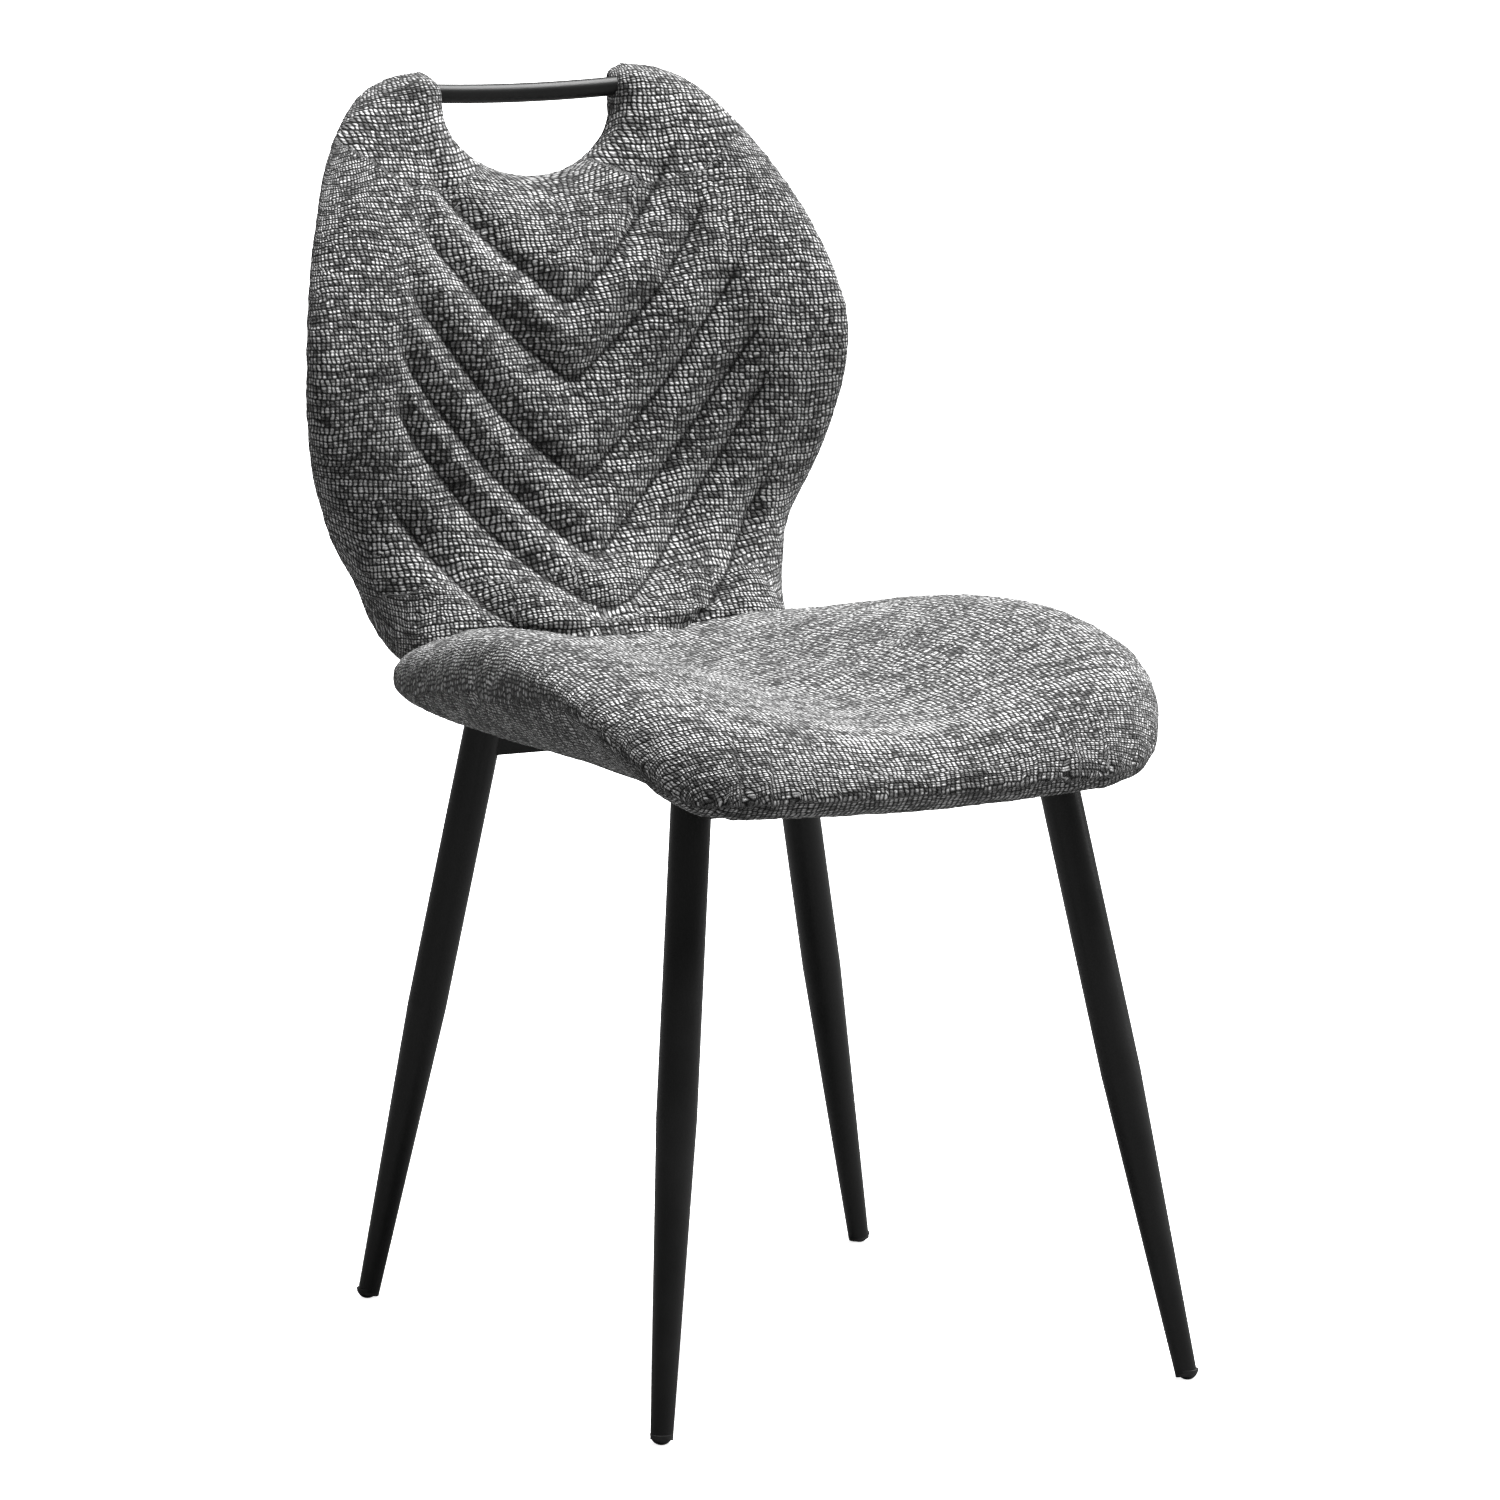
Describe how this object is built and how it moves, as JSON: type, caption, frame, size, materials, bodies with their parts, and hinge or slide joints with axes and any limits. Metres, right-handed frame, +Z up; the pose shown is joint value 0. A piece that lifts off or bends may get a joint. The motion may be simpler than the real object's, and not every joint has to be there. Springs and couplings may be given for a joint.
{
  "type": "dining chair",
  "caption": "Upholstered one-piece shell dining chair with a chevron-quilted balloon back, a tubular hand hole bar and four splayed tapered steel legs.",
  "frame": {"origin": "on the floor, under the centre of the chair's bounding box", "axes": "+Z up, -Y is the way the sitter faces, +X to the sitter's left, the chair is symmetric about X = 0"},
  "size_m": [0.4476, 0.671, 0.8684],
  "materials": {
    "cover_fabric": "chunky melange grey chenille weave",
    "dust_fabric": "black non-woven",
    "foam": "moulded polyurethane foam",
    "plywood": "raw plywood",
    "black_steel": "satin black powder coat",
    "zinc_steel": "zinc plated",
    "black_plastic": "moulded"
  },
  "bodies": {
    "root": {"seat_board": "plywood", "seat_foam": "foam", "seat_cover": "cover_fabric", "dust_cover": "dust_fabric", "hem_staples": "zinc_steel", "seat_tee_nuts": "zinc_steel", "back_board": "plywood", "back_foam": "foam", "back_cover_front": "cover_fabric", "back_cover_rear": "cover_fabric", "back_tee_nuts": "zinc_steel", "bracket_left": "zinc_steel", "bracket_right": "zinc_steel", "bracket_bolts": "zinc_steel", "handle_bar": "black_steel", "handle_clip_left": "zinc_steel", "handle_clip_right": "zinc_steel", "clip_screws": "zinc_steel", "bar_front": "black_steel", "bar_rear": "black_steel", "plate_front_left": "black_steel", "plate_front_right": "black_steel", "plate_rear_left": "black_steel", "plate_rear_right": "black_steel", "plate_bolts": "zinc_steel", "plate_washers": "zinc_steel", "leg_front_left": "black_steel", "leg_front_right": "black_steel", "leg_rear_left": "black_steel", "leg_rear_right": "black_steel", "glide_front_left": "black_plastic", "glide_front_right": "black_plastic", "glide_rear_left": "black_plastic", "glide_rear_right": "black_plastic"}
  },
  "joints": []
}
